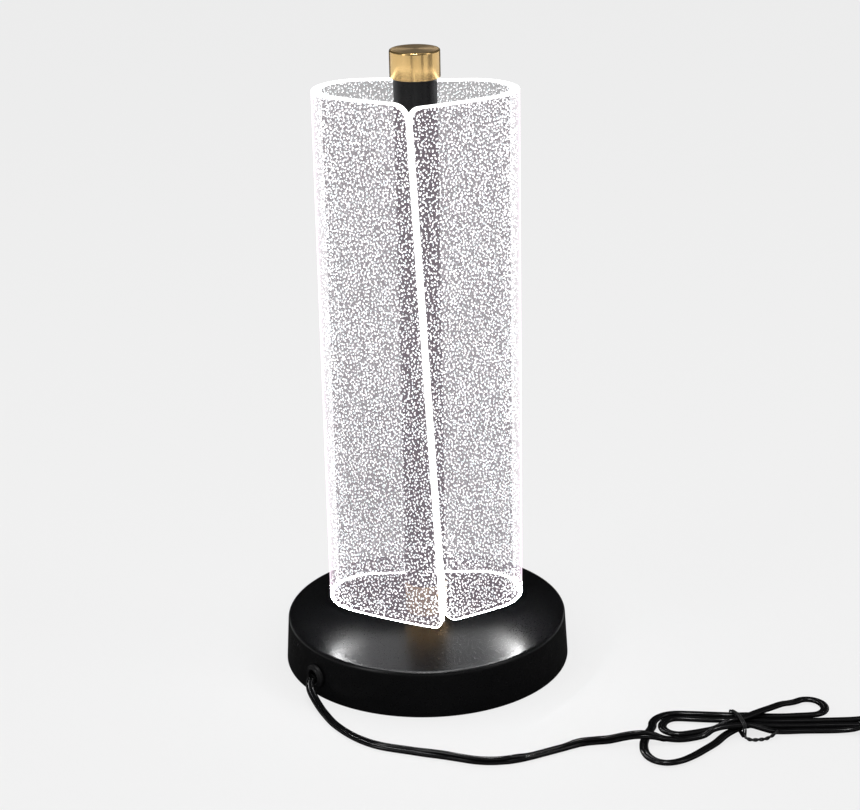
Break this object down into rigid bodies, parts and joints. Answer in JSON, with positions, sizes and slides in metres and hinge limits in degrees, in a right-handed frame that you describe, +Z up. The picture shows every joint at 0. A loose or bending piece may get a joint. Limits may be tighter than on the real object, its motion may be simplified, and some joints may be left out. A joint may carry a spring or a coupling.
{
  "type": "table lamp",
  "caption": "Edge-lit table lamp: round weighted base, slotted post with brass collar and cap, bent clear sheets standing in the post, flat cord with a tied hank, inline switch and plug.",
  "frame": {"origin": "centre of the underside of the base, on the surface that the lamp stands on", "axes": "+Z up along the post, the seam of the bent sheets faces -Y"},
  "size_m": [0.5401, 0.208, 0.3309],
  "materials": {
    "black_coat": "satin",
    "brass": "spun and polished",
    "plain_brass": "plain",
    "clear_sheet": "clear with small bubbles, lit from its edge",
    "rubber": "matte",
    "flex": "soft cord sheath",
    "black_plastic": "fine grain",
    "white_plastic": "moulded",
    "foam": "closed-cell foam",
    "zinc_steel": "zinc plated",
    "cast_iron": "as cast",
    "aluminium": "extruded",
    "circuit_board": "coated board",
    "light_board": "coated board with light chips",
    "wire": "wire insulation"
  },
  "bodies": {
    "lamp": {"floor_pad": "foam", "base_plate": "zinc_steel", "base_screw_1": "zinc_steel", "base_screw_2": "zinc_steel", "base_screw_3": "zinc_steel", "base_weight": "cast_iron", "base_shell": "black_coat", "grommet": "rubber", "cord_clamp": "white_plastic", "clamp_screw_1": "zinc_steel", "clamp_screw_2": "zinc_steel", "mains_lead_inner": "flex", "driver_lid": "white_plastic", "driver_case": "white_plastic", "driver_board": "circuit_board", "led_wire_left": "wire", "led_wire_right": "wire", "stem_nut": "zinc_steel", "stem_washer": "zinc_steel", "stem_pipe": "zinc_steel", "lower_collar": "brass", "post_tube": "black_coat", "lower_bush": "white_plastic", "upper_bush": "white_plastic", "led_bar_left": "aluminium", "led_bar_right": "aluminium", "led_strip_left": "light_board", "led_strip_right": "light_board", "shade_left": "clear_sheet", "shade_right": "clear_sheet", "top_cap": "brass", "cord_lead": "flex", "cord_hank": "flex", "cord_tie": "black_plastic", "switch_lower_case": "black_plastic", "switch_upper_case": "black_plastic", "switch_pin": "zinc_steel", "switch_terminal_in": "plain_brass", "switch_terminal_out": "plain_brass", "switch_blade": "plain_brass", "switch_screw_1": "zinc_steel", "switch_screw_2": "zinc_steel", "cord_tail": "flex", "plug_body": "black_plastic", "plug_pin_1": "plain_brass", "plug_pin_2": "plain_brass"},
    "rocker": {"switch_rocker": "black_plastic"}
  },
  "joints": [
    {"name": "rocker_tilt", "type": "hinge", "parent": "lamp", "child": "rocker", "pos_m": [0.31, -0.1106, 0.0126], "axis": [0, 1, 0], "range_deg": [0, 14]}
  ]
}
